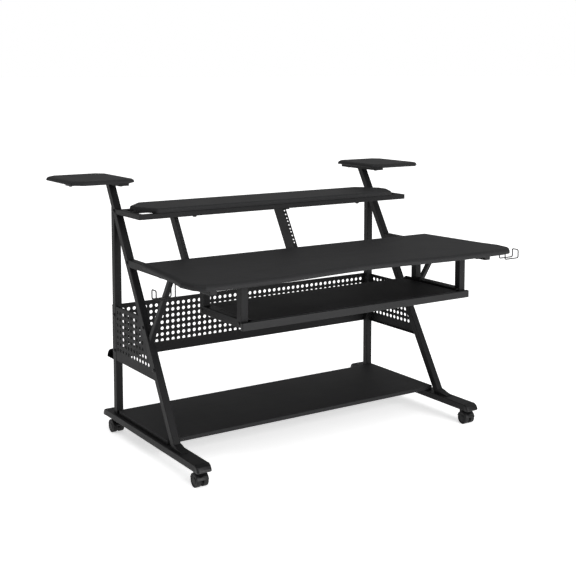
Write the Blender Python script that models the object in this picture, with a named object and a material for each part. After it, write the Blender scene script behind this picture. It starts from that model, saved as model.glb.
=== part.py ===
"""A rolling studio desk: two slanted steel side frames, five boards, a sliding keyboard tray, rack rails.

Metres, +Z up, +X to the sitter's right, the sitter on the -Y side. Lengths along Y are first worked out from
the back faces of the rear posts, and the whole desk is then centred over the origin.
"""

import math

import bmesh
import bpy
from mathutils import Vector

# ---- driving dimensions ----
gap = 0.0003                # air left between pieces that touch

frame_half = 0.6020         # centre of the desk to the outer side of a leg
tube = 0.0270               # square tube of the posts, legs and desk supports
tube_wall = 0.0015
tube_radius = 0.0025
lean = 0.60                 # how far a leg runs back for each metre it rises

rail_width = 0.0550         # base rails
rail_height = 0.0245
rail_front = 0.6600         # ahead of the posts' back faces
rail_rear = 0.0520          # behind them
cap_length = 0.0230
cap_plug = 0.0060           # how far a cap's tongue goes into the rail
foot_length = 0.0420        # wedge in front of a leg's lower end
foot_height = 0.0160

brace = 0.0180              # square tube of the diagonal braces
brace_lean = 0.645
brace_top_reach = 0.4520    # centre of a brace under the desk support, ahead of the posts

desk_height = 0.7020        # top of the desktop
desk_thickness = 0.0200
desk_overhang = (           # a side of the desktop from its rear corner: out past the frame, and along Y
    (0.037, -0.327), (0.067, -0.628), (0.083, -0.706), (0.073, -0.772), (0.044, -0.804), (-0.002, -0.813),
)
desk_front = 0.8150
wave_depth = 0.0300         # hollow in the middle of the front edge
wave_half = 0.4250
nose_width = 0.0170         # sloping nose along a board's edge
nose_drop = 0.0105
support_front = 0.7450      # front end of the tubes under the desktop

shelf_rise = 0.1716         # top of the upper shelf above the desktop
shelf_thickness = 0.0180
shelf_inset = 0.0260        # its ends, in from the frame's sides
shelf_rear = 0.0260
shelf_front = 0.2450
shelf_front_cut = (0.045, 0.090)
shelf_rear_cut = (0.070, 0.080)
loop_tube = 0.0190          # square tube that carries the upper shelf
shelf_bar_clear = 0.0027    # bar under the shelf's rear, ahead of the legs
loop_front = 0.2414

floor_board_thickness = 0.0150
floor_board_inset = 0.0040  # its ends, in from the frame's sides
floor_board_clear = 0.0070  # its rear edge, ahead of the posts' front faces
floor_board_behind = 0.0261 # its front edge, behind the legs

platform_width = 0.2460
platform_depth = 0.3120
platform_cut = 0.0340
platform_rise = 0.2690      # top above the desktop
platform_thickness = 0.0150
platform_offset = 0.0680    # its middle, out from the frame's side
bracket_thickness = 0.0120
bracket_width = 0.0400
platform_back = 0.0329      # its middle, behind the posts' back faces
bracket_inset = 0.0350      # a bracket's arm stops this far inside the platform's edge

panel_bottom = 0.2850
panel_top = 0.4890
sheet = 0.0015
panel_lip = 0.0100
channel_depth = 0.0530
channel_height = 0.0390

rack_hole_spacing = 0.4651  # between the two lines of rack holes
rack_opening = 0.4500       # between the two webs
rack_centre = -0.2145
rack_flange = 0.0160
rack_web = 0.0660
rack_sheet = 0.0020
rack_units = 4
rack_hole = 0.0066
rack_foot = 0.0450

tray_half = 0.4430
tray_drop = 0.1480          # its top below the desktop's top
tray_thickness = 0.0150
tray_front = 0.7420
tray_depth = 0.3120
strip_past_hanger = 0.0047  # moulding along the tray's front edge, out past the hangers
strip_depth = 0.0150
strip_height = 0.0270
slide_front = 0.7350
slide_thickness = 0.0127
slide_height = 0.0270
slide_length = 0.3000
slide_sheet = 0.0016
hanger = 0.0270             # square tube of the tray hangers
hanger_front = 0.7390       # front face of the front hanger post
hanger_rear = 0.4620        # back face of the rear hanger post

wheel_diameter = 0.0460
wheel_width = 0.0170
wheel_spacing = 0.0270      # between the middles of a caster's two wheels
axle_diameter = 0.0060
hub_clearance = 0.00005     # running fit, on the radius
caster_front = 0.6280       # front stems, ahead of the posts' back faces
caster_rear = -0.0040       # rear stems, behind them
caster_trail = 0.0160
caster_stem = 0.0110
stem_clearance = 0.00008    # running fit of the stem in the rail, on the radius
hood_thickness = 0.0022
hood_clearance = 0.0012
caster_collar = 0.0066      # between the hood and the rail

hook_wire = 0.0045
hook_gap = 0.0300           # between the hook's two wires
hook_reach = 0.0680
hook_rise = 0.0310
hook_overhang = 0.1290      # tip, out past the frame
hooks = ((1, 0.748, 0.0290), (-1, 0.615, 0.0480))   # side, ahead of the posts, drop

# ---- values worked out from them ----
rail_bottom = wheel_diameter + hood_clearance + hood_thickness + caster_collar
shelf_height = desk_height + shelf_rise
platform_top = desk_height + platform_rise
tray_top = desk_height - tray_drop
shelf_half = frame_half - shelf_inset
floor_board_half = frame_half - floor_board_inset
floor_board_rear = tube + floor_board_clear
platform_centre = frame_half + platform_offset
strip_half = tray_half + 2 * gap + slide_thickness + hanger + strip_past_hanger
desk_side = [(frame_half + out, y) for out, y in desk_overhang]
leg_slope = math.atan(lean)
rail_top = rail_bottom + rail_height
rail_centre = frame_half - tube / 2 - 0.001
frame_centre = frame_half - tube / 2
frame_inner = frame_half - tube
support_top = desk_height - desk_thickness - gap
support_bottom = support_top - tube
loop_top = shelf_height - shelf_thickness - gap
loop_bottom = loop_top - loop_tube
loop_centre = frame_half - loop_tube / 2
bracket_top = platform_top - platform_thickness - gap
bracket_bottom = bracket_top - bracket_thickness
leg_reach = lean * bracket_bottom - platform_back   # a leg's centre line on the floor, ahead of the posts
rearmost = platform_back + platform_depth / 2
y_shift = (desk_front - rearmost) / 2

UP = Vector((0, 0, 1))
RIGHT = Vector((1, 0, 0))
BACK = Vector((0, 1, 0))
ALONG_LEG = Vector((0, lean, 1)).normalized()
LEG_FRONT = Vector((0, -1, lean)).normalized()


def leg_y(z):
    return lean * z - leg_reach


# ---- materials ----
def material(name, colour, roughness, metallic):
    made = bpy.data.materials.new(name)
    made.use_nodes = True
    shader = made.node_tree.nodes["Principled BSDF"]
    shader.inputs["Base Color"].default_value = (*colour, 1)
    shader.inputs["Roughness"].default_value = roughness
    shader.inputs["Metallic"].default_value = metallic
    return made


# ---- building helpers ----
def add_object(name, shape, finish, origin=(0, 0, 0), smooth=False):
    """Closes a bmesh into an object whose own origin is at origin."""
    bmesh.ops.recalc_face_normals(shape, faces=shape.faces)
    bmesh.ops.translate(shape, verts=shape.verts, vec=-Vector(origin))
    mesh = bpy.data.meshes.new(name)
    shape.to_mesh(mesh)
    shape.free()
    if smooth:
        mesh.shade_smooth()
        mesh.set_sharp_from_angle(angle=math.radians(35))
    made = bpy.data.objects.new(name, mesh)
    made.location = Vector(origin) + Vector((0, y_shift, 0))
    made.data.materials.append(material(name, *finish))
    bpy.context.scene.collection.objects.link(made)
    return made


def ring_of(shape, points):
    return [shape.verts.new(point) for point in points]


def bridge(shape, first, second):
    for i in range(len(first)):
        j = (i + 1) % len(first)
        shape.faces.new((first[i], first[j], second[j], second[i]))


def solid_from_rings(rings):
    """A closed body through rings with equal numbers of points."""
    shape = bmesh.new()
    loops = [ring_of(shape, ring) for ring in rings]
    for first, second in zip(loops, loops[1:]):
        bridge(shape, first, second)
    shape.faces.new(loops[0])
    shape.faces.new(loops[-1])
    return shape


def rounded_rectangle(width, depth, radius, steps=3):
    corners = ((1, 1), (-1, 1), (-1, -1), (1, -1))
    points = []
    for turn, (sx, sy) in enumerate(corners):
        for step in range(steps + 1):
            angle = math.pi / 2 * (turn + step / steps)
            x = sx * (width / 2 - radius) + radius * math.cos(angle)
            y = sy * (depth / 2 - radius) + radius * math.sin(angle)
            points.append((x, y))
    return points


def on_plane(point, direction, plane):
    """Where the line from point along direction meets plane, given as (point, normal)."""
    place, normal = Vector(plane[0]), Vector(plane[1])
    return point + direction * ((place - point).dot(normal) / direction.dot(normal))


def run(section, origin, direction, across, start, end):
    """The section's points, carried along direction onto the planes start and end."""
    up = direction.cross(across)
    lines = [Vector(origin) + across * u + up * v for u, v in section]
    return [[on_plane(p, direction, plane) for p in lines] for plane in (start, end)]


def tube_shape(width, depth, wall, radius, origin, direction, across, start, end):
    """A hollow tube, open at both ends, cut off by two planes."""
    outer = run(rounded_rectangle(width, depth, radius), origin, direction, across, start, end)
    inner_section = rounded_rectangle(width - 2 * wall, depth - 2 * wall, radius - wall / 2)
    inner = run(inner_section, origin, direction, across, start, end)
    shape = bmesh.new()
    loops = [ring_of(shape, ring) for ring in (outer[0], outer[1], inner[1], inner[0])]
    for i in range(4):
        bridge(shape, loops[i], loops[(i + 1) % 4])
    return shape


def box_shape(low, high):
    (x0, y0, z0), (x1, y1, z1) = low, high
    floor = [(x0, y0), (x1, y0), (x1, y1), (x0, y1)]
    return solid_from_rings([[(x, y, z) for x, y in floor] for z in (z0, z1)])


def extruded(profile, x0, x1):
    """A profile of (y, z) points, run along X."""
    return solid_from_rings([[(x, y, z) for y, z in profile] for x in (x0, x1)])


def inset_outline(outline, amount):
    """The outline, counter-clockwise, moved inwards by amount, with mitred corners."""
    moved = []
    for i, here in enumerate(outline):
        before = Vector(outline[i - 1])
        after = Vector(outline[(i + 1) % len(outline)])
        into = (Vector(here) - before).normalized()
        out = (after - Vector(here)).normalized()
        mean = Vector((-(into.y + out.y), into.x + out.x)).normalized()
        reach = amount / max(mean.dot(Vector((-into.y, into.x))), 0.3)
        moved.append(tuple(Vector(here) + mean * reach))
    return moved


def board_shape(outline, top, thickness, width, drop):
    """A board whose upper edge slopes down in a rounded nose."""
    edge = 0.0015
    levels = [(edge, top - thickness), (0, top - thickness + edge), (0, top - drop)]
    steps = 3
    for step in range(1, steps + 1):
        angle = math.pi / 2 * step / steps
        levels.append((width * (1 - math.cos(angle)), top - drop + drop * math.sin(angle)))
    return solid_from_rings([[(x, y, z) for x, y in inset_outline(outline, side)] for side, z in levels])


def rounded_outline(corners, radius, steps=3):
    """Replaces each corner of a counter-clockwise outline by a short arc."""
    points = []
    for i, corner in enumerate(corners):
        here = Vector(corner)
        before = (Vector(corners[i - 1]) - here).normalized()
        after = (Vector(corners[(i + 1) % len(corners)]) - here).normalized()
        half = before.angle(after) / 2
        if half > math.radians(86):
            points.append(tuple(here))
            continue
        length = radius / math.tan(half)
        middle = here + (before + after).normalized() * (radius / math.sin(half))
        first = here + before * length - middle
        last = here + after * length - middle
        turn = first.angle_signed(last)
        for step in range(steps + 1):
            angle = -turn * step / steps
            x = first.x * math.cos(angle) - first.y * math.sin(angle)
            y = first.x * math.sin(angle) + first.y * math.cos(angle)
            points.append((middle.x + x, middle.y + y))
    return points


def disc(radius, sides, phase=0.0):
    return [
        (radius * math.cos(phase + math.tau * i / sides), radius * math.sin(phase + math.tau * i / sides))
        for i in range(sides)
    ]


def join_shapes(target, other):
    """Boolean union of a second shape into an object."""
    tool = bpy.data.objects.new(target.name + "_addition", bpy.data.meshes.new("addition"))
    bmesh.ops.recalc_face_normals(other, faces=other.faces)
    bmesh.ops.translate(other, verts=other.verts, vec=(0, y_shift, 0))
    other.to_mesh(tool.data)
    other.free()
    tool.hide_render = True
    tool.display_type = "WIRE"
    bpy.context.scene.collection.objects.link(tool)
    joint = target.modifiers.new("union", "BOOLEAN")
    joint.operation = "UNION"
    joint.solver = "EXACT"
    joint.object = tool


def cut_shapes(target, others):
    """Boolean difference of several shapes, gathered in one cutter, from an object."""
    tool = bpy.data.objects.new(target.name + "_cutter", bpy.data.meshes.new("cutter"))
    whole = bmesh.new()
    for other in others:
        bmesh.ops.recalc_face_normals(other, faces=other.faces)
        piece = bpy.data.meshes.new("piece")
        other.to_mesh(piece)
        other.free()
        whole.from_mesh(piece)
        bpy.data.meshes.remove(piece)
    bmesh.ops.translate(whole, verts=whole.verts, vec=(0, y_shift, 0))
    whole.to_mesh(tool.data)
    whole.free()
    tool.hide_render = True
    tool.display_type = "WIRE"
    bpy.context.scene.collection.objects.link(tool)
    cut = target.modifiers.new("cut", "BOOLEAN")
    cut.operation = "DIFFERENCE"
    cut.solver = "EXACT"
    cut.object = tool


# ---- finishes: colour, roughness, metallic ----
STEEL = ((0.020, 0.020, 0.021), 0.48, 0.30)
BOARD = ((0.032, 0.032, 0.034), 0.55, 0.0)
PLASTIC = ((0.015, 0.015, 0.016), 0.50, 0.0)
BARE_STEEL = ((0.45, 0.45, 0.46), 0.35, 1.0)


# ---- side frames ----
def base_rail(side, name):
    shape = tube_shape(
        rail_width, rail_height, tube_wall, tube_radius,
        (side * rail_centre, 0, rail_bottom + rail_height / 2), BACK, RIGHT,
        ((0, -rail_front, 0), BACK), ((0, rail_rear, 0), BACK),
    )
    rail = add_object(f"base_rail_{name}", shape, STEEL, smooth=True)
    bores = []
    for y in (-caster_front, caster_rear):
        hole = disc(caster_stem / 2 + stem_clearance, 24)
        low, high = rail_bottom - 0.005, rail_bottom + rail_height / 2
        rings = [[(side * rail_centre + u, y + v, z) for u, v in hole] for z in (low, high)]
        bores.append(solid_from_rings(rings))
    cut_shapes(rail, bores)


def end_cap(side, name, end, end_name):
    """A moulded nose over the end of a rail, with a tongue inside the tube. end is -1 in front, 1 behind."""
    edge = (rail_front if end < 0 else rail_rear) + gap
    nose = edge + cap_length
    top, low = rail_top, rail_bottom
    round_step = 0.010
    profile = [
        (edge, low), (nose - 0.004, low), (nose, low + 0.004), (nose - 0.002, low + round_step),
        (nose - 0.008, top - 0.0055), (nose - 0.018, top - 0.0012), (nose - 0.026, top), (edge, top),
    ]
    corner = 0.006
    slices = (
        (-rail_width / 2, corner), (-rail_width / 2 + 0.002, 0.002), (-rail_width / 2 + corner, 0),
        (rail_width / 2 - corner, 0), (rail_width / 2 - 0.002, 0.002), (rail_width / 2, corner),
    )
    rings = []
    for x, back in slices:
        ring = []
        for y, z in profile:
            pulled = y - back if y > edge else y
            ring.append((side * rail_centre + x, end * pulled, z))
        rings.append(ring)
    cap = add_object(f"rail_cap_{end_name}_{name}", solid_from_rings(rings), PLASTIC, smooth=True)
    half_width = rail_width / 2 - tube_wall - gap
    half_height = rail_height / 2 - tube_wall - gap
    middle = rail_bottom + rail_height / 2
    ends = sorted((end * (edge - cap_plug), end * (edge + 0.004)))
    tongue = box_shape(
        (side * rail_centre - half_width + 0.001, ends[0], middle - half_height + 0.001),
        (side * rail_centre + half_width - 0.001, ends[1], middle + half_height - 0.001),
    )
    join_shapes(cap, tongue)


def slanted_leg(side, name):
    shape = tube_shape(
        tube, tube, tube_wall, tube_radius, (side * frame_centre, -leg_reach, 0), ALONG_LEG, RIGHT,
        ((0, 0, rail_top + gap), UP), ((0, 0, bracket_bottom - gap), UP),
    )
    add_object(f"slanted_leg_{name}", shape, STEEL, smooth=True)


def leg_foot(side, name):
    front = leg_y(rail_top) - tube / 2 / math.cos(leg_slope) - gap
    low = rail_top + gap
    profile = [
        (front - foot_length, low), (front, low), (front + lean * foot_height, low + foot_height),
        (front - foot_length * 0.45, low + foot_height * 0.45), (front - foot_length, low + 0.003),
    ]
    half = tube / 2 + 0.001
    shape = extruded(profile, side * frame_centre - half, side * frame_centre + half)
    add_object(f"leg_foot_{name}", shape, STEEL)


def rear_post(side, name):
    under_leg = Vector((0, leg_y(0) + tube / 2 / math.cos(leg_slope) + gap / math.cos(leg_slope), 0))
    shape = tube_shape(
        tube, tube, tube_wall, tube_radius, (side * frame_centre, -tube / 2, 0), UP, RIGHT,
        ((0, 0, rail_top + gap), UP), (under_leg, LEG_FRONT),
    )
    add_object(f"rear_post_{name}", shape, STEEL, smooth=True)


def desk_support(side, name):
    over_leg = Vector((0, leg_y(0) - tube / 2 / math.cos(leg_slope) - gap / math.cos(leg_slope), 0))
    shape = tube_shape(
        tube, tube, tube_wall, tube_radius, (side * frame_centre, 0, support_top - tube / 2), BACK, RIGHT,
        ((0, -support_front, 0), BACK), (over_leg, LEG_FRONT),
    )
    add_object(f"desk_support_{name}", shape, STEEL, smooth=True)


def diagonal_brace(side, name):
    along = Vector((0, brace_lean, -1)).normalized()
    over_leg = Vector((0, leg_y(0) - tube / 2 / math.cos(leg_slope) - gap / math.cos(leg_slope), 0))
    shape = tube_shape(
        brace, brace, tube_wall, tube_radius,
        (side * frame_centre, -brace_top_reach, support_bottom), along, RIGHT,
        ((0, 0, support_bottom - gap), UP), (over_leg, LEG_FRONT),
    )
    add_object(f"diagonal_brace_{name}", shape, STEEL, smooth=True)


def shelf_loop():
    """A flat tube from one leg forward, across under the shelf's front and back to the other leg."""
    def section(inside):
        half = loop_tube / 2 - inside
        high = loop_top - inside
        low = loop_bottom + inside
        return ((-half, low), (half, low), (half, high), (-half, high))

    def ring(place, inside):
        points = []
        for out, z in section(inside):
            if place in (0, 3):
                side = -1 if place == 0 else 1
                y = leg_y(z) - (tube / 2 + gap) / math.cos(leg_slope)
                points.append((side * (loop_centre + out), y, z))
            else:
                side = -1 if place == 1 else 1
                points.append((side * (loop_centre + out), -loop_front + loop_tube / 2 - out, z))
        return points

    shape = bmesh.new()
    outer = [ring_of(shape, ring(place, 0)) for place in range(4)]
    inner = [ring_of(shape, ring(place, tube_wall)) for place in range(4)]
    for loops in (outer, inner):
        for first, second in zip(loops, loops[1:]):
            bridge(shape, first, second)
    bridge(shape, outer[0], inner[0])
    bridge(shape, outer[3], inner[3])
    loop = add_object("shelf_loop", shape, STEEL)
    bevel = loop.modifiers.new("soft_edges", "BEVEL")
    bevel.width = 0.0007
    bevel.segments = 1
    bevel.limit_method = "ANGLE"


def shelf_bar():
    """A square tube between the loop's arms, under the shelf's rear edge."""
    end = loop_centre - loop_tube / 2 - gap
    rear = leg_y(loop_bottom) - tube / 2 / math.cos(leg_slope) - shelf_bar_clear
    shape = tube_shape(
        loop_tube, loop_tube, tube_wall, tube_radius,
        (0, rear - loop_tube / 2, loop_top - loop_tube / 2), RIGHT, BACK,
        ((-end, 0, 0), RIGHT), ((end, 0, 0), RIGHT),
    )
    add_object("shelf_bar", shape, STEEL, smooth=True)


def side_frame(side, name):
    base_rail(side, name)
    end_cap(side, name, -1, "front")
    end_cap(side, name, 1, "rear")
    slanted_leg(side, name)
    leg_foot(side, name)
    rear_post(side, name)
    desk_support(side, name)
    diagonal_brace(side, name)


# ---- boards ----
def desktop():
    right = list(desk_side)
    left = [(-x, y) for x, y in reversed(desk_side)]
    wave = []
    steps = 14
    for step in range(-steps, steps + 1):
        x = wave_half * 1.1 * step / steps
        swell = 0.5 + 0.5 * math.cos(math.pi * min(abs(x) / wave_half, 1))
        wave.append((x, -desk_front + wave_depth * swell))
    corners = rounded_outline(right[::-1] + left[::-1], 0.012, 2)
    outline = wave + corners
    add_object("desktop", board_shape(outline, desk_height, desk_thickness, nose_width, nose_drop), BOARD)


def cut_corner_outline(half, front, rear, front_cut, rear_cut):
    return [
        (half, front + front_cut[1]), (half, rear - rear_cut[1]), (half - rear_cut[0], rear),
        (-half + rear_cut[0], rear), (-half, rear - rear_cut[1]), (-half, front + front_cut[1]),
        (-half + front_cut[0], front), (half - front_cut[0], front),
    ]


def upper_shelf():
    corners = cut_corner_outline(shelf_half, -shelf_front, -shelf_rear, shelf_front_cut, shelf_rear_cut)
    outline = rounded_outline(corners, 0.012, 2)
    add_object("upper_shelf", board_shape(outline, shelf_height, shelf_thickness, 0.008, 0.006), BOARD)


def bottom_shelf():
    top = rail_top + gap + floor_board_thickness
    front = leg_y(top) + tube / 2 / math.cos(leg_slope) + floor_board_behind
    corners = [
        (floor_board_half, front), (floor_board_half, -floor_board_rear),
        (-floor_board_half, -floor_board_rear), (-floor_board_half, front),
    ]
    outline = rounded_outline(corners, 0.006, 2)
    add_object("bottom_shelf", board_shape(outline, top, floor_board_thickness, 0.002, 0.002), BOARD)


def speaker_platform(side, name):
    centre_y = platform_back
    half = platform_width / 2
    cut = (platform_cut, platform_cut)
    corners = cut_corner_outline(half, centre_y - platform_depth / 2, centre_y + platform_depth / 2, cut, cut)
    outline = [(x + side * platform_centre, y) for x, y in rounded_outline(corners, 0.010, 2)]
    shape = board_shape(outline, platform_top, platform_thickness, nose_width, nose_drop)
    add_object(f"speaker_platform_{name}", shape, BOARD)


def platform_bracket(side, name):
    """A flat steel cross on the leg's top: one arm fore and aft, one arm out under the platform."""
    centre_y = platform_back
    half = bracket_width / 2
    reach_y = platform_depth / 2 - bracket_inset
    outer = platform_centre + platform_width / 2 - bracket_inset
    inner = frame_centre - half
    low, high = bracket_bottom, bracket_top
    outline = [
        (inner, centre_y - reach_y), (inner + 2 * half, centre_y - reach_y),
        (inner + 2 * half, centre_y - half),
        (outer, centre_y - half), (outer, centre_y + half), (inner + 2 * half, centre_y + half),
        (inner + 2 * half, centre_y + reach_y), (inner, centre_y + reach_y),
    ]
    rings = [[(side * x, y, z) for x, y in outline] for z in (low, high)]
    add_object(f"platform_bracket_{name}", solid_from_rings(rings), STEEL)


# ---- sheet-metal panels ----
def back_panel():
    """Behind the posts, with its upper and lower edges folded back."""
    front = gap
    profile = [
        (front, panel_bottom), (front + panel_lip, panel_bottom), (front + panel_lip, panel_bottom + sheet),
        (front + sheet, panel_bottom + sheet), (front + sheet, panel_top - sheet),
        (front + panel_lip, panel_top - sheet), (front + panel_lip, panel_top), (front, panel_top),
    ]
    add_object("back_panel", extruded(profile, -frame_half, frame_half), STEEL)


def side_panel(side, name):
    """Between the leg and the post, with its upper and lower edges folded inwards."""
    outer = frame_half - 0.001
    inner = outer - sheet
    lip = outer - panel_lip
    half_leg = tube / 2 / math.cos(leg_slope) + gap
    section = [
        (outer, panel_bottom), (outer, panel_top), (lip, panel_top), (lip, panel_top - sheet),
        (inner, panel_top - sheet), (inner, panel_bottom + sheet), (lip, panel_bottom + sheet),
        (lip, panel_bottom),
    ]
    rings = []
    for at_leg in (True, False):
        ring = []
        for x, z in section:
            ring.append((side * x, leg_y(z) + half_leg if at_leg else -tube - gap, z))
        rings.append(ring)
    add_object(f"side_panel_{name}", solid_from_rings(rings), STEEL)


def cable_channel():
    """A quarter-round duct along the foot of the back panel, open at both ends and towards the panel."""
    steps = 7
    near = gap + 0.0005
    low = panel_bottom - gap - sheet

    def arc(inside):
        points = []
        for step in range(steps + 1):
            angle = math.pi / 2 * step / steps
            y = gap + (channel_depth - inside) * math.cos(angle)
            z = low + inside + (channel_height - inside * 2) * math.sin(angle)
            points.append((max(y, gap + sheet + gap), z))
        return points

    outside = arc(0)
    inside = arc(sheet)
    profile = [(near, low)] + outside + list(reversed(inside)) + [(near, low + sheet)]
    add_object("cable_channel", extruded(profile, -frame_half, frame_half), STEEL)


# ---- rack rails ----
def rack_rail(side, name):
    """An angle with its web beside the equipment and its flange, with the rack holes, turned away from it."""
    web_inner = rack_centre + side * rack_opening / 2
    hole_x = rack_centre + side * rack_hole_spacing / 2
    top = loop_top
    low = desk_height - desk_thickness - gap
    foot_low = low - rack_sheet
    front_at = -loop_front + loop_tube + gap - lean * loop_bottom

    def face(z, depth):
        return front_at + lean * z + depth

    section = [
        (0, 0), (rack_flange, 0), (rack_flange, rack_sheet), (rack_sheet, rack_sheet),
        (rack_sheet, rack_web), (0, rack_web),
    ]
    rings = []
    for z in (foot_low, top):
        rings.append([(web_inner + side * u, face(z, v), z) for u, v in section])
    rail = add_object(f"rack_rail_{name}", solid_from_rings(rings), STEEL)
    foot_front = desk_side[0][1] - rack_foot
    edges = sorted((web_inner, web_inner + side * rack_flange))
    foot = box_shape((edges[0], foot_front, foot_low), (edges[1], face(foot_low, rack_web * 0.6), low))
    join_shapes(rail, foot)
    pitch = (0.01270, 0.015875, 0.015875)
    along = 0.0
    start = desk_height + 0.0100
    holes = []
    for number in range(rack_units * 3):
        z = start + along / math.sqrt(1 + lean * lean)
        if z < loop_bottom - rack_hole:
            centre = Vector((hole_x, face(z, 0), z))
            normal = Vector((0, -1, lean)).normalized()
            up = Vector((0, lean, 1)).normalized()
            rings = []
            for depth in (0.004, -0.006):
                middle = centre + normal * depth
                rings.append([middle + RIGHT * u + up * v for u, v in disc(rack_hole / 2, 8)])
            holes.append(solid_from_rings(rings))
        along += pitch[number % 3]
    cut_shapes(rail, holes)


# ---- keyboard tray ----
def keyboard_tray():
    corners = [
        (tray_half, -tray_front), (tray_half, -tray_front + tray_depth),
        (-tray_half, -tray_front + tray_depth), (-tray_half, -tray_front),
    ]
    outline = rounded_outline(corners, 0.008, 2)
    shape = board_shape(outline, tray_top, tray_thickness, 0.004, 0.004)
    centre = (0, -tray_front + tray_depth / 2, tray_top - tray_thickness / 2)
    add_object("keyboard_tray", shape, BOARD, origin=centre)


def tray_strip():
    corners = [
        (strip_half, -tray_front - strip_depth), (strip_half, -tray_front - gap),
        (-strip_half, -tray_front - gap), (-strip_half, -tray_front - strip_depth),
    ]
    outline = rounded_outline(corners, 0.003, 2)
    centre = (0, -tray_front - strip_depth / 2, tray_top - strip_height / 2)
    shape = board_shape(outline, tray_top, strip_height, 0.004, 0.004)
    add_object("tray_strip", shape, PLASTIC, origin=centre)


def slides(side, name):
    """A telescopic slide in two channels: the outer one on the hanger, the inner one on the tray's edge."""
    middle = tray_top - tray_thickness / 2
    inner_x = tray_half + gap
    outer_x = inner_x + slide_thickness
    front = -slide_front
    rear = front + slide_length
    half = slide_height / 2
    wall = slide_sheet

    def channel(x_web, x_open, tall):
        step = wall if x_open > x_web else -wall
        return [
            (x_web, middle - tall), (x_open, middle - tall), (x_open, middle - tall + wall),
            (x_web + step, middle - tall + wall), (x_web + step, middle + tall - wall),
            (x_open, middle + tall - wall), (x_open, middle + tall), (x_web, middle + tall),
        ]

    outer = channel(outer_x, inner_x + 0.0035, half)
    inner = channel(inner_x, outer_x - wall - 0.0015, half - wall - 0.0006)
    for label, section in (("outer", outer), ("inner", inner)):
        rings = [[(side * x, y, z) for x, z in section] for y in (front, rear)]
        centre = (side * (inner_x + outer_x) / 2, (front + rear) / 2, middle)
        add_object(f"tray_slide_{label}_{name}", solid_from_rings(rings), STEEL, origin=centre)


def tray_hanger(side, name):
    """A U of square tube under the desktop that carries the tray's slide."""
    inner_x = tray_half + 2 * gap + slide_thickness
    centre_x = inner_x + hanger / 2
    high = desk_height - desk_thickness - gap
    low = tray_top - tray_thickness / 2 + hanger / 2
    front, rear = -hanger_front, -hanger_rear
    outline = [
        (front, high), (front, low - hanger), (rear, low - hanger), (rear, high),
        (rear - hanger, high), (rear - hanger, low), (front + hanger, low), (front + hanger, high),
    ]
    shape = extruded(outline, side * centre_x - hanger / 2, side * centre_x + hanger / 2)
    made = add_object(f"tray_hanger_{name}", shape, STEEL)
    bevel = made.modifiers.new("soft_edges", "BEVEL")
    bevel.width = 0.0012
    bevel.segments = 1
    bevel.limit_method = "ANGLE"


# ---- casters ----
def caster(side, end, name):
    """Stem and hood that swivel, an axle, and two wheels that each turn on their own."""
    stem_x = side * rail_centre
    stem_y = -caster_front if end < 0 else caster_rear
    axle_y = stem_y + end * caster_trail
    axle_z = wheel_diameter / 2
    swivel = (stem_x, stem_y, 0)

    web_half = (wheel_spacing - wheel_width) / 2 - 0.0008
    inner_radius = wheel_diameter / 2 + hood_clearance
    outer_radius = inner_radius + hood_thickness
    steps = 10

    def arc(radius, first, last):
        points = []
        for step in range(steps + 1):
            angle = math.radians(first + (last - first) * step / steps)
            points.append((axle_y - end * radius * math.cos(angle), axle_z + radius * math.sin(angle)))
        return points

    hood_profile = arc(outer_radius, 12, 168) + list(reversed(arc(inner_radius, 12, 168)))
    hood_half = wheel_spacing / 2 + wheel_width / 2 - 0.0005
    hood = extruded(hood_profile, stem_x - hood_half, stem_x + hood_half)
    housing = add_object(f"caster_housing_{name}", hood, PLASTIC, origin=swivel, smooth=True)
    web_profile = arc(outer_radius - 0.0008, -25, 180 + 25)
    join_shapes(housing, extruded(web_profile, stem_x - web_half, stem_x + web_half))
    collar = disc(0.0120, 20)
    rings = [[(stem_x + u, stem_y + v, z) for u, v in collar] for z in (axle_z + 0.012, rail_bottom - gap)]
    join_shapes(housing, solid_from_rings(rings))
    stem = disc(caster_stem / 2, 24)
    stem_top = rail_top - tube_wall - 0.002
    rings = [[(stem_x + u, stem_y + v, z) for u, v in stem] for z in (axle_z + 0.014, stem_top)]
    join_shapes(housing, solid_from_rings(rings))
    wheel_rooms = []
    for hand in (-1, 1):
        inner_side = web_half + 0.0001
        outer_side = hood_half + 0.004
        ends = sorted((stem_x + hand * inner_side, stem_x + hand * outer_side))
        room = disc(inner_radius, 28)
        rings = [[(x, axle_y + u, axle_z + v) for u, v in room] for x in ends]
        wheel_rooms.append(solid_from_rings(rings))
    bore = disc(axle_diameter / 2 + gap, 12)
    ends = (stem_x - 0.03, stem_x + 0.03)
    wheel_rooms.append(solid_from_rings([[(x, axle_y + u, axle_z + v) for u, v in bore] for x in ends]))
    cut_shapes(housing, wheel_rooms)

    centre = (stem_x, axle_y, axle_z)
    half_length = wheel_spacing / 2 + wheel_width / 2 - 0.0015
    rod = disc(axle_diameter / 2, 12)
    ends = (stem_x - half_length, stem_x + half_length)
    rings = [[(x, axle_y + u, axle_z + v) for u, v in rod] for x in ends]
    add_object(f"caster_axle_{name}", solid_from_rings(rings), BARE_STEEL, origin=centre, smooth=True)

    for hand, label in ((-1, "left"), (1, "right")):
        wheel_x = stem_x + hand * wheel_spacing / 2
        wheel(f"caster_wheel_{label}_{name}", wheel_x, axle_y, axle_z)


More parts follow.
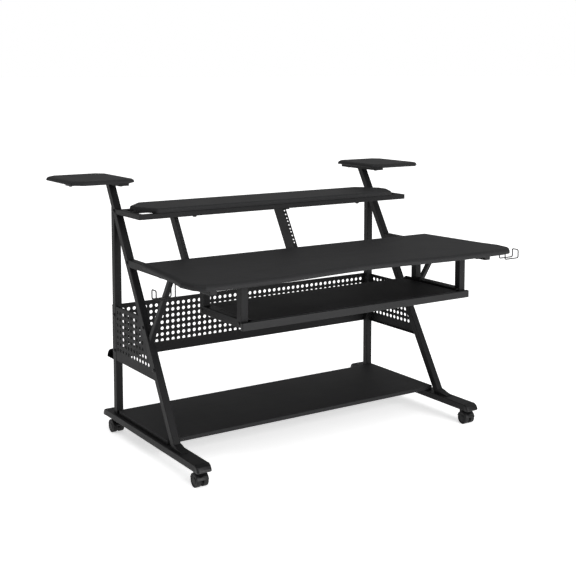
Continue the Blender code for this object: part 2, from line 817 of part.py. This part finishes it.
def wheel(name, x, y, z):
    """A tyre with rounded shoulders around a hub bored for the axle."""
    radius = wheel_diameter / 2
    half = wheel_width / 2
    bore = axle_diameter / 2 + hub_clearance
    profile = [
        (half, bore), (half, radius * 0.62), (half - 0.0018, radius * 0.68), (half - 0.0006, radius * 0.80),
        (half - 0.0022, radius * 0.96), (half - 0.0045, radius),
    ]
    profile += [(-offset, reach) for offset, reach in reversed(profile)]
    sides = 24
    rings = []
    for i in range(sides):
        angle = math.tau * i / sides
        ring = []
        for offset, reach in profile:
            ring.append((x + offset, y + reach * math.cos(angle), z + reach * math.sin(angle)))
        rings.append(ring)
    shape = bmesh.new()
    loops = [ring_of(shape, ring) for ring in rings]
    for i in range(sides):
        bridge(shape, loops[i], loops[(i + 1) % sides])
    add_object(name, shape, PLASTIC, origin=(x, y, z), smooth=True)


# ---- wire hooks ----
def swept_wire(route, radius, sides):
    """A round wire along a route of points, mitred at each bend."""
    rings = []
    first = (route[1] - route[0]).normalized()
    across = first.orthogonal().normalized()
    section = [route[0] + across * u + first.cross(across) * v for u, v in disc(radius, sides)]
    rings.append(section)
    for i in range(1, len(route)):
        along = (route[i] - route[i - 1]).normalized()
        onward = (route[i + 1] - route[i]).normalized() if i + 1 < len(route) else along
        plane = (route[i], (along + onward).normalized())
        section = [on_plane(point, along, plane) for point in section]
        rings.append(section)
    return solid_from_rings(rings)


def rounded_route(corners, radius, steps=3):
    points = [corners[0]]
    for before, here, after in zip(corners, corners[1:], corners[2:]):
        start = here + (before - here).normalized() * radius
        finish = here + (after - here).normalized() * radius
        for step in range(steps + 1):
            t = step / steps
            points.append(start * (1 - t) ** 2 + here * (2 * t * (1 - t)) + finish * t ** 2)
    points.append(corners[-1])
    return points


def wire_hook(side, ahead, drop, name):
    """A loop of wire from under the desktop: down, out past the edge, up to a tip, and the same way back."""
    under = desk_height - desk_thickness - gap
    low = under - drop
    tip = frame_half + hook_overhang
    inner, outer = side * (tip - hook_reach), side * tip
    corners = []
    for hand in (-1, 1):
        y = -ahead + hand * hook_gap / 2
        half = [
            Vector((inner, y, under)), Vector((inner, y, low)), Vector((outer, y, low)),
            Vector((outer, y, low + hook_rise)),
        ]
        corners += half if hand < 0 else half[::-1]
    route = rounded_route(corners, 0.006)
    add_object(f"headphone_hook_{name}", swept_wire(route, hook_wire / 2, 8), STEEL, smooth=True)


def build():
    for item in list(bpy.data.objects):
        bpy.data.objects.remove(item, do_unlink=True)
    for side, name in ((-1, "left"), (1, "right")):
        side_frame(side, name)
        speaker_platform(side, name)
        platform_bracket(side, name)
        side_panel(side, name)
        rack_rail(side, name)
        slides(side, name)
        tray_hanger(side, name)
        for end, end_name in ((-1, "front"), (1, "rear")):
            caster(side, end, f"{end_name}_{name}")
    for side, ahead, drop in hooks:
        wire_hook(side, ahead, drop, "left" if side < 0 else "right")
    shelf_loop()
    shelf_bar()
    desktop()
    upper_shelf()
    bottom_shelf()
    back_panel()
    cable_channel()
    keyboard_tray()
    tray_strip()


build()
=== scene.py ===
# %% [markdown]
# # A rolling studio desk
# The desk is two slanted steel side frames on casters, joined by a perforated back panel, with a waved
# desktop, a shelf over it, two speaker platforms, rack rails and a keyboard tray that slides out. The
# frame of plain solids is loaded first. Each later step either gives one of its nodes a finish, or builds
# a finer piece that stands for the node.

# %% Load the frame
import math

import bpy
from mathutils import Matrix, Vector


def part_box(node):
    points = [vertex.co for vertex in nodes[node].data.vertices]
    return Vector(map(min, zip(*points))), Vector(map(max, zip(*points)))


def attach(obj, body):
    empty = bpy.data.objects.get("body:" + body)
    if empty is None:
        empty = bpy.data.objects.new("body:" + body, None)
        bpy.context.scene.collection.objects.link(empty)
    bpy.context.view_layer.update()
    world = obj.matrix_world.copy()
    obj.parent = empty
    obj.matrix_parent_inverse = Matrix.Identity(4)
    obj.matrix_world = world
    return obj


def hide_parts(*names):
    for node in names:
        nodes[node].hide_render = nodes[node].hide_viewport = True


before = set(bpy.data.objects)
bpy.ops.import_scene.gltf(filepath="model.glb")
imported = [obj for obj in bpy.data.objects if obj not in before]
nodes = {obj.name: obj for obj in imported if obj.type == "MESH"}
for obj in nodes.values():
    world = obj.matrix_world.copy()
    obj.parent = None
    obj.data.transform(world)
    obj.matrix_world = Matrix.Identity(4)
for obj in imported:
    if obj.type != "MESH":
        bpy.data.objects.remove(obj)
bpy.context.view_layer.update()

# %% [markdown]
# ## Small helpers
# An operator works on whatever is selected, so every helper starts by selecting one thing only. A piece is
# started from a primitive at its size and place, and modifiers are applied at once, so that the finished
# mesh holds its own place and the object stays at the origin.

# %% Selecting and applying
UP = Vector((0, 0, 1))
RIGHT = Vector((1, 0, 0))
BACK = Vector((0, 1, 0))
SIDES = ((-1, "left"), (1, "right"))


def focus(piece):
    for other in list(bpy.context.selected_objects):
        other.select_set(False)
    piece.select_set(True)
    bpy.context.view_layer.objects.active = piece


def settle(piece):
    focus(piece)
    bpy.ops.object.transform_apply(location=True, rotation=True, scale=True)


def shaped_by(piece, kind, **settings):
    """Adds one modifier and applies it."""
    modifier = piece.modifiers.new(kind.lower(), kind)
    for name, value in settings.items():
        setattr(modifier, name, value)
    focus(piece)
    bpy.ops.object.modifier_apply(modifier=modifier.name)


def soften(piece, width, segments=2, angle=30):
    limit = math.radians(angle)
    shaped_by(piece, "BEVEL", width=width, segments=segments, limit_method="ANGLE", angle_limit=limit)


def named(name):
    piece = bpy.context.active_object
    piece.name = name
    piece.data.name = name
    return piece


print("helpers ready")

# %% [markdown]
# ## Blocks, rods and copies
# Most pieces start as a block or a rod that is added at its real size and place and then shaped. A piece
# of the frame that already has the right outline is copied instead: its loose triangles are merged first,
# so that they can be bevelled and shaded as one surface.

# %% Starting shapes
def block(name, low, high, edge=0.0008, segments=2):
    """A box between two corners, with softened edges."""
    low, high = Vector(low), Vector(high)
    bpy.ops.mesh.primitive_cube_add(size=1, location=(low + high) / 2, scale=high - low)
    piece = named(name)
    settle(piece)
    if edge:
        soften(piece, edge, segments)
    return piece


def rod(name, centre, axis, radius, depth, sides=24, edge=0.0):
    turn = Vector(axis).to_track_quat("Z", "Y").to_euler()
    bpy.ops.mesh.primitive_cylinder_add(
        vertices=sides, radius=radius, depth=depth, location=centre, rotation=turn
    )
    piece = named(name)
    settle(piece)
    if edge:
        soften(piece, edge)
    return piece


def copied(piece, name, matrix):
    """A copy with its own mesh, moved by a matrix."""
    twin = bpy.data.objects.new(name, piece.data.copy())
    twin.data.transform(matrix)
    if matrix.determinant() < 0:
        twin.data.flip_normals()
    bpy.context.scene.collection.objects.link(twin)
    return twin


def joined(pieces, name):
    focus(pieces[0])
    for piece in pieces[1:]:
        piece.select_set(True)
    bpy.ops.object.join()
    return named(name)


def copy_of_node(node, name, flat=0.5):
    """A merged copy of a node, with faces that lie within flat degrees made whole again."""
    piece = bpy.data.objects.new(name, nodes[node].data.copy())
    bpy.context.scene.collection.objects.link(piece)
    focus(piece)
    bpy.ops.object.mode_set(mode="EDIT")
    bpy.ops.mesh.select_all(action="SELECT")
    bpy.ops.mesh.remove_doubles(threshold=0.00001)
    bpy.ops.mesh.dissolve_limited(angle_limit=math.radians(flat))
    bpy.ops.mesh.normals_make_consistent(inside=False)
    bpy.ops.object.mode_set(mode="OBJECT")
    return piece


def pick_faces(piece, test):
    """Selects the faces that pass a test on their centre and normal, and goes to edit mode."""
    focus(piece)
    bpy.ops.object.mode_set(mode="EDIT")
    bpy.ops.mesh.select_mode(type="FACE")
    bpy.ops.mesh.select_all(action="DESELECT")
    bpy.ops.object.mode_set(mode="OBJECT")
    for face in piece.data.polygons:
        face.select = test(face.center, face.normal)
    bpy.ops.object.mode_set(mode="EDIT")


def leave_edit():
    bpy.ops.object.mode_set(mode="OBJECT")


def cut_with(piece, tool, solver="EXACT"):
    shaped_by(piece, "BOOLEAN", object=tool, operation="DIFFERENCE", solver=solver)
    bpy.data.objects.remove(tool, do_unlink=True)


print("starting shapes ready")

# %% [markdown]
# ## Writing finishes as sums
# A finish is a graph of nodes. One small class wraps a socket, so that a sum or a product in Python adds
# the Math node that does it, and any other node comes from a single method.

# %% The socket class
class Signal:
    def __init__(self, tree, socket):
        self.tree = tree
        self.socket = socket

    def node(self, kind, settings=None, output=0, **inputs):
        made = self.tree.nodes.new(kind)
        for name, value in (settings or {}).items():
            if name == "stops":
                for stop, (place, grey) in zip(made.color_ramp.elements, value):
                    stop.position = place
                    stop.color = (grey, grey, grey, 1)
            else:
                setattr(made, name, value)
        for name, value in inputs.items():
            key = int(name[1:]) if name[0] == "_" else name.replace("_", " ")
            if isinstance(value, Signal):
                self.tree.links.new(value.socket, made.inputs[key])
            else:
                made.inputs[key].default_value = value
        return Signal(self.tree, made.outputs[output])

    def maths(self, operation, first, second):
        return self.node("ShaderNodeMath", {"operation": operation}, _0=first, _1=second)

    def __add__(self, other):
        return self.maths("ADD", self, other)

    def __radd__(self, other):
        return self.maths("ADD", other, self)

    def __sub__(self, other):
        return self.maths("SUBTRACT", self, other)

    def __rsub__(self, other):
        return self.maths("SUBTRACT", other, self)

    def __mul__(self, other):
        return self.maths("MULTIPLY", self, other)

    def __rmul__(self, other):
        return self.maths("MULTIPLY", other, self)

    def __truediv__(self, other):
        return self.maths("DIVIDE", self, other)


def new_finish(name):
    made = bpy.data.materials.new(name)
    made.use_nodes = True
    tree = made.node_tree
    shader = tree.nodes["Principled BSDF"]
    place = Signal(tree, tree.nodes.new("ShaderNodeTexCoord").outputs["Object"])
    return made, shader, place


def feed(shader, name, signal):
    signal.tree.links.new(signal.socket, shader.inputs[name])


def noise(place, scale, detail=3.0, roughness=0.55):
    return place.node("ShaderNodeTexNoise", Vector=place, Scale=scale, Detail=detail, Roughness=roughness)


def raised(height, strength, distance):
    return height.node("ShaderNodeBump", Height=height, Strength=strength, Distance=distance)


print("socket class ready")

# %% [markdown]
# ## The finishes
# The steel is powder coated: a satin black with a fine orange-peel texture, a little duller where dust has
# settled. The boards are a dark laminate with a fine grain along the desk. The caps, casters and the
# tray's front strip are moulded plastic, which is smoother and has a broad sheen.

# %% Powder-coated steel
def mixed(place, factor, dark, pale):
    return factor.node(
        "ShaderNodeMix", {"data_type": "RGBA"}, output=2, _0=factor, _6=(*dark, 1), _7=(*pale, 1)
    )


def powder_coat(name, dark, pale, gloss):
    made, shader, place = new_finish(name)
    cloud = noise(place, 9.0, 4.0)
    grain = noise(place, 900.0, 2.0)
    feed(shader, "Base Color", mixed(place, cloud * 0.7 + grain * 0.3, dark, pale))
    feed(shader, "Roughness", gloss + (cloud - 0.5) * 0.16 + (grain - 0.5) * 0.10)
    feed(shader, "Normal", raised(grain, 0.22, 0.0004))
    shader.inputs["Specular IOR Level"].default_value = 0.15
    return made


steel = powder_coat("powder_coated_steel", (0.0036, 0.0036, 0.0040), (0.0085, 0.0085, 0.0090), 0.52)
steel_panel = powder_coat("powder_coated_sheet", (0.0036, 0.0036, 0.0040), (0.0080, 0.0080, 0.0085), 0.56)
print(steel.name, steel_panel.name)

# %% [markdown]
# ## Boards, mouldings, treads and axles
# Black boards on such desks are chipboard under a printed laminate, so their grain is drawn out along the
# desk. Noise that is squeezed in one direction gives that. The mouldings have a finer sparkle and no
# direction, and the axles are plated steel, brushed round.

# %% Laminate, plastic, tyre and zinc
def laminate(name, dark, pale, gloss):
    made, shader, place = new_finish(name)
    stretched = place.node("ShaderNodeMapping", Vector=place, Scale=(0.06, 1.0, 1.0))
    streak = noise(stretched, 130.0, 6.0, 0.65)
    cloud = noise(place, 5.0, 3.0)
    pore = noise(place, 1100.0, 2.0)
    tone = streak * 0.55 + cloud * 0.30 + pore * 0.15
    feed(shader, "Base Color", mixed(place, tone, dark, pale))
    feed(shader, "Roughness", gloss + (cloud - 0.5) * 0.14 + (streak - 0.5) * 0.10)
    feed(shader, "Normal", raised(streak * 0.5 + pore * 0.5, 0.20, 0.0003))
    shader.inputs["Specular IOR Level"].default_value = 0.14
    return made


def moulded(name, dark, pale, gloss, depth):
    made, shader, place = new_finish(name)
    spark = noise(place, 1500.0, 2.0)
    cloud = noise(place, 22.0, 3.0)
    feed(shader, "Base Color", mixed(place, cloud, dark, pale))
    feed(shader, "Roughness", gloss + (cloud - 0.5) * 0.18)
    feed(shader, "Normal", raised(spark, depth, 0.0003))
    shader.inputs["Specular IOR Level"].default_value = 0.20
    return made


def zinc(name):
    made, shader, place = new_finish(name)
    stretched = place.node("ShaderNodeMapping", Vector=place, Scale=(1.0, 0.05, 1.0))
    brushed = noise(stretched, 700.0, 4.0)
    feed(shader, "Base Color", mixed(place, brushed, (0.22, 0.22, 0.23), (0.42, 0.42, 0.43)))
    feed(shader, "Roughness", 0.30 + brushed * 0.20)
    feed(shader, "Normal", raised(brushed, 0.15, 0.0002))
    shader.inputs["Metallic"].default_value = 1.0
    return made


board_finish = laminate("dark_laminate", (0.0100, 0.0100, 0.0106), (0.0190, 0.0190, 0.0198), 0.62)
plastic = moulded("moulded_plastic", (0.0050, 0.0050, 0.0055), (0.0095, 0.0095, 0.0100), 0.40, 0.12)
tyre = moulded("wheel_tread", (0.0040, 0.0040, 0.0043), (0.0080, 0.0080, 0.0084), 0.55, 0.20)
bolt_finish = moulded("black_oxide", (0.0080, 0.0080, 0.0085), (0.0200, 0.0200, 0.0205), 0.34, 0.10)
bare = zinc("zinc_plate")
print("laminate, plastic, tread, bolts and zinc ready")

# %% [markdown]
# ## Handing a piece over
# A finished piece gets its finish, smooth shading where its faces meet at a small angle, and the body that
# it moves with. One helper does all of it, so that no piece is forgotten when the tray slides or a caster
# turns.

# %% Handing a piece over
def give(piece, finish):
    piece.data.materials.clear()
    piece.data.materials.append(finish)


def hand_over(piece, body, finish, slot, *stands_for, angle=32):
    """Smooths a finished piece, paints it and lets it ride on its body."""
    focus(piece)
    bpy.ops.object.shade_smooth_by_angle(angle=math.radians(angle))
    give(piece, finish)
    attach(piece, body)
    for node in stands_for:
        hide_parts(node)
    return piece


print("pieces can be handed over")

# %% [markdown]
# ## Tubes, brackets and wire
# The welded tubes, the hooks and the tray's slides already have their true shape in the frame, so they
# only get their finish.

# %% Paint the frame's own pieces
STEEL_NODES = ("base_rail", "slanted_leg", "rear_post", "desk_support", "diagonal_brace", "leg_foot")
for side, name in SIDES:
    for node in STEEL_NODES + ("headphone_hook", "platform_bracket", "tray_hanger", "rack_rail"):
        give(nodes[f"{node}_{name}"], steel)
    for member in ("outer", "inner"):
        give(nodes[f"tray_slide_{member}_{name}"], steel)
give(nodes["shelf_loop"], steel)
give(nodes["shelf_bar"], steel)
print("painted the welded frame")

# %% [markdown]
# ## Boards
# Every board is cut to an outline and given a rounded nose all round. A merged copy of the node has that
# outline and nose already, and smooth shading makes the nose read as one curve.

# %% The boards
BOARDS = ("desktop", "upper_shelf", "bottom_shelf", "speaker_platform_left", "speaker_platform_right")


def finished_board(node, name, body, finish, slot):
    board = copy_of_node(node, name, flat=0.02)
    low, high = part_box(node)

    def on_a_face(centre, normal):
        return min(abs(centre.z - low[2]), abs(centre.z - high[2])) < 0.00002

    pick_faces(board, on_a_face)
    bpy.ops.mesh.dissolve_faces()
    leave_edit()
    hand_over(board, body, finish, slot, node, angle=40)
    shaped_by(board, "WEIGHTED_NORMAL", keep_sharp=True, weight=100)
    return board


for node in BOARDS:
    finished_board(node, node + "_board", "frame", board_finish, "laminate_board")
finished_board("keyboard_tray", "keyboard_tray_board", "tray", board_finish, "laminate_board")
finished_board("tray_strip", "tray_front_strip", "tray", plastic, "black_plastic")
print(len(BOARDS) + 1, "boards and the tray's front strip")

# %% [markdown]
# ## Perforated sheet
# The back and side panels are punched with rows of round holes. One punch is modelled and copied to every
# hole, and a single Boolean cuts the sheet with all of them, as a press does.

# %% The punched panels
HOLE_RADIUS = 0.0066
HOLE_PITCH = 0.0233
HOLE_ROWS = 7
ROW_BOTTOM = 0.3279


def punched(sheet, centres, axis, depth=0.03, radius=HOLE_RADIUS, sides=14):
    first = rod("punch", (0, 0, 0), axis, radius, depth, sides)
    punches = [copied(first, "punch", Matrix.Translation(centre)) for centre in centres]
    bpy.data.objects.remove(first, do_unlink=True)
    cut_with(sheet, joined(punches, "punches"))


back_low, back_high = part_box("back_panel")
back_front = back_low[1]
half_columns = int((back_high[0] - 0.020) / HOLE_PITCH)
centres = []
for row in range(HOLE_ROWS):
    for column in range(-half_columns, half_columns + 1):
        centres.append(Vector((column * HOLE_PITCH, back_front, ROW_BOTTOM + row * HOLE_PITCH)))
back_panel = copy_of_node("back_panel", "back_panel_punched")
punched(back_panel, centres, BACK, depth=0.008)
hand_over(back_panel, "frame", steel_panel, "black_steel", "back_panel")
print("back panel:", len(centres), "holes")

# %% [markdown]
# ## Side panels
# The perforated sheet turns the corner and runs forward to the slanted leg. The holes could be painted on,
# but they show daylight and the thickness of the sheet, so they are cut with the same punch as the back
# panel's.

# %% The side panels
LEAN = 0.60
for side, name in SIDES:
    node = f"side_panel_{name}"
    low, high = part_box(node)
    centres = []
    for row in range(HOLE_ROWS):
        z = ROW_BOTTOM + 0.0015 + row * HOLE_PITCH
        first = high[1] - 0.016
        last = low[1] + LEAN * (z - low[2]) + 0.018
        column = 0
        while first - column * HOLE_PITCH > last:
            x = high[0] if side > 0 else low[0]
            centres.append(Vector((x, first - column * HOLE_PITCH, z)))
            column += 1
    panel = copy_of_node(node, node + "_punched")
    punched(panel, centres, RIGHT, depth=0.012)
    hand_over(panel, "frame", steel_panel, "black_steel", node)
    print(node, len(centres), "holes")

# %% [markdown]
# ## Cable channel
# A gutter of curved sheet behind the back panel keeps the leads off the floor. The frame's own solid has
# the curve in short flats, so a merged copy that is shaded smooth across them is enough.

# %% The cable channel
channel = copy_of_node("cable_channel", "cable_channel_sheet")
hand_over(channel, "frame", steel_panel, "black_steel", "cable_channel", angle=45)
print("cable channel")

# %% [markdown]
# ## Casters
# Each caster is a moulded hood on a steel stem, over two plastic wheels. A wheel could be spun from a
# profile, but a cylinder whose faces are inset shows the steps of the mould more directly: a tread, a
# recessed face and a raised hub cap. One wheel is modelled at the origin and copied to its eight places.

# %% One wheel
TREAD_RADIUS = 0.0230
TREAD_WIDTH = 0.0170
wheel_pattern = rod("wheel_pattern", (0, 0, 0), RIGHT, TREAD_RADIUS, TREAD_WIDTH, sides=48)


def on_hub(centre, normal):
    return abs(normal.x) > 0.9 and centre.yz.length < 0.001


STEPS = ((0.0030, 0.0004), (0.0012, -0.0024), (0.0070, 0.0), (0.0010, 0.0018), (0.0035, 0.0006))
for thickness, depth in STEPS:
    pick_faces(wheel_pattern, on_hub)
    bpy.ops.mesh.inset(thickness=thickness, depth=depth, use_individual=True)
    leave_edit()
soften(wheel_pattern, 0.0011, 3, angle=50)
print("wheel:", len(wheel_pattern.data.polygons), "faces")

# %% [markdown]
# ## Caster hoods
# A caster's hood covers the upper half of both wheels and holds the stem. It starts as a thick rod that is
# cut in half by a plane and hollowed for the two wheels. A web, a collar and the stem are joined on, and
# the front pair get a brake lever of their own.

# %% One hood
HOOD_RADIUS = 0.0262
HOOD_WIDTH = 0.0430
ROOM_RADIUS = 0.0241
WEB_HALF = 0.0042


def hood_pattern(trail, braked):
    """A hood about its stem. The axle is trail along Y from the stem, at wheel height."""
    axle = Vector((0, trail, TREAD_RADIUS))
    hood = rod("hood", axle, RIGHT, HOOD_RADIUS, HOOD_WIDTH, sides=56)
    focus(hood)
    bpy.ops.object.mode_set(mode="EDIT")
    bpy.ops.mesh.select_all(action="SELECT")
    bpy.ops.mesh.bisect(
        plane_co=axle + UP * 0.004, plane_no=UP, clear_inner=True, use_fill=True
    )
    leave_edit()
    for hand in (-1, 1):
        middle = hand * (WEB_HALF + 0.02)
        cut_with(hood, rod("room", axle + RIGHT * middle, RIGHT, ROOM_RADIUS, 0.04, sides=56))
    soften(hood, 0.0005, 2)
    web = rod("web", axle, RIGHT, 0.0120, 2 * WEB_HALF, sides=32, edge=0.0006)
    collar = rod("collar", (0, 0, 0.0524), UP, 0.0118, 0.0066, sides=32, edge=0.0010)
    stem = rod("stem", (0, 0, 0.0600), UP, 0.0054, 0.0160, sides=24, edge=0.0006)
    block_to_hood = block("seat", (-0.0105, -0.0105, 0.0400), (0.0105, 0.0105, 0.0500), 0.0015)
    parts = [hood, web, collar, stem, block_to_hood]
    if braked:
        out = -1 if trail < 0 else 1
        ends = sorted((trail + out * 0.0170, trail + out * 0.0330))
        lever = block("lever", (-0.0130, ends[0], 0.0385), (0.0130, ends[1], 0.0420), 0.0)
        pick_faces(lever, lambda centre, normal: normal.y * out > 0.9)
        bpy.ops.transform.resize(value=(0.75, 1, 0.8), center_override=(0, ends[out > 0], 0.040))
        bpy.ops.transform.translate(value=(0, 0, 0.0025))
        leave_edit()
        soften(lever, 0.0010, 3)
        parts.append(lever)
    return joined(parts, "hood_pattern")


print("hood helper ready")

# %% [markdown]
# ## Four casters
# One wheel and one hood are the patterns. Every caster takes its own copies, moved to its stem, so that
# each copy's mesh can turn on its own body.

# %% Four casters
for end in ("front", "rear"):
    for side, name in SIDES:
        caster = f"{end}_{name}"
        low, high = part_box(f"caster_axle_{caster}")
        axle = (Vector(low) + Vector(high)) / 2
        low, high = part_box(f"caster_housing_{caster}")
        trail = -0.016 if end == "front" else 0.016
        stem_at = Vector((axle.x, axle.y - trail, 0))
        hood = hood_pattern(trail, end == "front")
        hood.data.transform(Matrix.Translation(stem_at))
        hood.name = f"caster_hood_{caster}"
        give(nodes[f"caster_axle_{caster}"], bare)
        hand_over(hood, f"caster_{caster}", plastic, "black_plastic", f"caster_housing_{caster}")
        for hand, hand_name in SIDES:
            node = f"caster_wheel_{hand_name}_{caster}"
            low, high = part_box(node)
            centre = (Vector(low) + Vector(high)) / 2
            wheel = copied(wheel_pattern, node + "_tread", Matrix.Translation(centre))
            hand_over(wheel, f"wheel_{hand_name}_{caster}", tyre, "black_plastic", node, angle=35)
bpy.data.objects.remove(wheel_pattern, do_unlink=True)
print("four casters")

# %% [markdown]
# ## Rail caps
# A moulded cap closes each end of a base rail. Its outer edges are rounded far more than the steel behind
# it, which is what catches the light at the foot of the desk.

# %% Rail caps
for end in ("front", "rear"):
    for side, name in SIDES:
        node = f"rail_cap_{end}_{name}"
        cap = copy_of_node(node, node + "_moulded")
        soften(cap, 0.0012, 3, angle=25)
        hand_over(cap, "frame", plastic, "black_plastic", node, angle=50)
print("rail caps")

# %% [markdown]
# ## Screws and plugs
# The desk is sold flat and screwed together, so every joint has a low round head with a hexagon socket.
# One head is modelled from a cylinder: the top is inset, raised into a dome and sunk in the middle. The
# open ends of the tubes under the desktop are closed by ribbed plastic plugs.

# %% One screw head
def screw_pattern(radius):
    head = rod("screw_pattern", (0, 0, radius * 0.22), UP, radius, radius * 0.44, sides=30)
    for thickness, depth in ((radius * 0.22, radius * 0.14), (radius * 0.24, radius * 0.05)):
        pick_faces(head, lambda centre, normal: normal.z > 0.99 and centre.xy.length < radius * 0.1)
        bpy.ops.mesh.inset(thickness=thickness, depth=depth)
        leave_edit()
    socket = rod("socket", (0, 0, radius * 0.62), UP, radius * 0.42, radius * 0.7, sides=6)
    cut_with(head, socket)
    return head


screw = screw_pattern(0.0062)
screw_count = 0


def drive(place, axis, size=1.0, body="frame"):
    """Puts a screw head on a face, pointing along axis."""
    global screw_count
    screw_count += 1
    turn = Vector(axis).to_track_quat("Z", "Y").to_matrix().to_4x4()
    matrix = Matrix.Translation(Vector(place)) @ turn @ Matrix.Scale(size, 4)
    head = copied(screw, f"screw_{screw_count:02d}", matrix)
    return hand_over(head, body, bolt_finish, "black_steel", angle=35)


print("screw head:", len(screw.data.polygons), "faces")

# %% [markdown]
# ## Where the screws go
# Boards are held from below or through the tubes, so the heads sit where a tube meets a board, a panel or
# another tube. They are copies of one head, turned to the surface that they sit on.

# %% Screws where pieces meet
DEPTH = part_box("rear_post_left")[1][1]          # back faces of the posts
LEG_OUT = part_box("slanted_leg_right")[1][0] + 0.0001
TUBE_MIDDLE = LEG_OUT - 0.0136                  # middle of the side frame's tubes
BRACKET_MIDDLE = DEPTH + 0.0329                 # middle of a platform's bracket


def leg_middle(z):
    low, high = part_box("slanted_leg_right")
    return (low[1] + high[1]) / 2 + LEAN * (z - (low[2] + high[2]) / 2)


for side, name in SIDES:
    x = side * LEG_OUT
    out = RIGHT * side
    for z in (0.320, 0.455):
        drive((x, DEPTH - 0.0135, z), out)
        drive((x, leg_middle(z), z), out)
    drive((x, leg_middle(0.847), 0.847), out)
    drive((x, leg_middle(0.669), 0.669), out)
    support_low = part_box(f"desk_support_{name}")[0]
    for y in (DEPTH - 0.690, DEPTH - 0.380):
        drive((side * TUBE_MIDDLE, y, support_low[2] - 0.0001), -UP, 1.1)
    bracket_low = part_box(f"platform_bracket_{name}")[0]
    for reach in (0.690, 0.745):
        drive((side * reach, BRACKET_MIDDLE, bracket_low[2] - 0.0001), -UP, 1.0)
    for shift in (-0.095, 0.095):
        drive((side * TUBE_MIDDLE, BRACKET_MIDDLE + shift, bracket_low[2] - 0.0001), -UP, 1.0)
loop_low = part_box("shelf_loop")[0]
for x in (-0.376, 0.029, 0.363):
    drive((x, loop_low[1] + 0.0095, loop_low[2] - 0.0001), -UP, 1.2)
for side, name in SIDES:
    for z in (0.300, 0.470):
        drive((side * TUBE_MIDDLE, DEPTH + 0.0019, z), BACK, 0.9)
    hanger_low, hanger_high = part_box(f"tray_hanger_{name}")
    outer_x = hanger_high[0] if side > 0 else hanger_low[0]
    for y in (hanger_low[1] + 0.0135, hanger_high[1] - 0.0135):
        drive((outer_x + side * 0.0001, y, hanger_low[2] + 0.0135), RIGHT * side, 0.8)
bpy.data.objects.remove(screw, do_unlink=True)
print(screw_count, "screws")

# %% [markdown]
# ## Plugs
# The square tubes under the desktop end in the open, and a pressed-in plug closes each. It is a block with
# an inset face, as the real plugs have.

# %% Plugs in the support tubes
for side, name in SIDES:
    low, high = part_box(f"desk_support_{name}")
    middle = side * TUBE_MIDDLE
    plug = block(
        f"support_plug_{name}",
        (middle - 0.0125, low[1] - 0.0018, low[2] + 0.0010),
        (middle + 0.0125, low[1] - 0.0001, high[2] - 0.0010),
        0.0,
    )
    pick_faces(plug, lambda centre, normal: normal.y < -0.9)
    bpy.ops.mesh.inset(thickness=0.0030, depth=0.0006)
    leave_edit()
    soften(plug, 0.0004, 2)
    hand_over(plug, "frame", plastic, "black_plastic")
print("two plugs")

# %% [markdown]
# ## Studio
# A white floor under a white sky that the camera sees but that lights the desk only weakly. One broad lamp
# stands in front of the desk, so that the edges and the fronts of the tubes are lighter than the boards'
# tops, and a soft sun from high up makes the faint shadow on the floor.

# %% Floor and sky
bpy.ops.mesh.primitive_plane_add(size=600, location=(0, 0, -0.0002))
floor = named("studio_floor")
floor_paint = bpy.data.materials.new("studio_white")
floor_paint.use_nodes = True
floor_shader = floor_paint.node_tree.nodes["Principled BSDF"]
floor_shader.inputs["Base Color"].default_value = (0.95, 0.95, 0.95, 1)
floor_shader.inputs["Roughness"].default_value = 0.9
floor_shader.inputs["Specular IOR Level"].default_value = 0.1
floor_shader.inputs["Emission Color"].default_value = (1, 1, 1, 1)
floor_shader.inputs["Emission Strength"].default_value = 0.55
give(floor, floor_paint)

world = bpy.data.worlds.new("studio")
bpy.context.scene.world = world
world.use_nodes = True
sky = world.node_tree
seen = sky.nodes["Background"]
seen.inputs["Color"].default_value = (1, 1, 1, 1)
seen.inputs["Strength"].default_value = 1.0
cast = sky.nodes.new("ShaderNodeBackground")
cast.inputs["Color"].default_value = (1, 1, 1, 1)
cast.inputs["Strength"].default_value = 0.42
ray = sky.nodes.new("ShaderNodeLightPath")
either = sky.nodes.new("ShaderNodeMixShader")
sky.links.new(ray.outputs["Is Camera Ray"], either.inputs[0])
sky.links.new(cast.outputs["Background"], either.inputs[1])
sky.links.new(seen.outputs["Background"], either.inputs[2])
sky.links.new(either.outputs["Shader"], sky.nodes["World Output"].inputs["Surface"])
print("floor and sky")

# %% [markdown]
# ## Lamps
# The broad front lamp lights what faces the sitter. The sun's disc is made very wide, because a small one
# would draw hard shadows on a floor that should stay nearly white.

# %% Lamps
def soft_lamp(name, place, aim, width, power):
    bpy.ops.object.light_add(type="AREA", location=place)
    lamp = bpy.context.active_object
    lamp.name = name
    lamp.data.shape = "SQUARE"
    lamp.data.size = width
    lamp.data.energy = power
    lamp.rotation_euler = (Vector(aim) - Vector(place)).to_track_quat("-Z", "Y").to_euler()
    return lamp


soft_lamp("front", (0.9, -5.0, 1.8), (0, 0, 0.5), 3.0, 230)
bpy.ops.object.light_add(type="SUN", location=(0, 0, 4))
sun = bpy.context.active_object
sun.name = "sun"
sun.data.angle = math.radians(50)
sun.data.energy = 1.2
sun.rotation_euler = (math.radians(12), math.radians(-8), 0)
bpy.context.scene.view_settings.view_transform = "Standard"
print("a front lamp and a soft sun")

# %% [markdown]
# ## Camera
# It stands at eye height ahead of the desk's left side. Half of the framing comes from a slight tilt and
# half from a shift, so that the upright posts stay nearly parallel.

# %% Camera
bpy.ops.object.camera_add(location=(-2.2241, -3.3479, 1.3501))
camera = bpy.context.active_object
camera.rotation_euler = (math.radians(90 - 5.262), 0, math.radians(-33.291))
camera.data.lens = 67.09
camera.data.sensor_width = 36
camera.data.shift_x = 0.0013
camera.data.shift_y = -0.20
bpy.context.scene.camera = camera
print("camera ready")
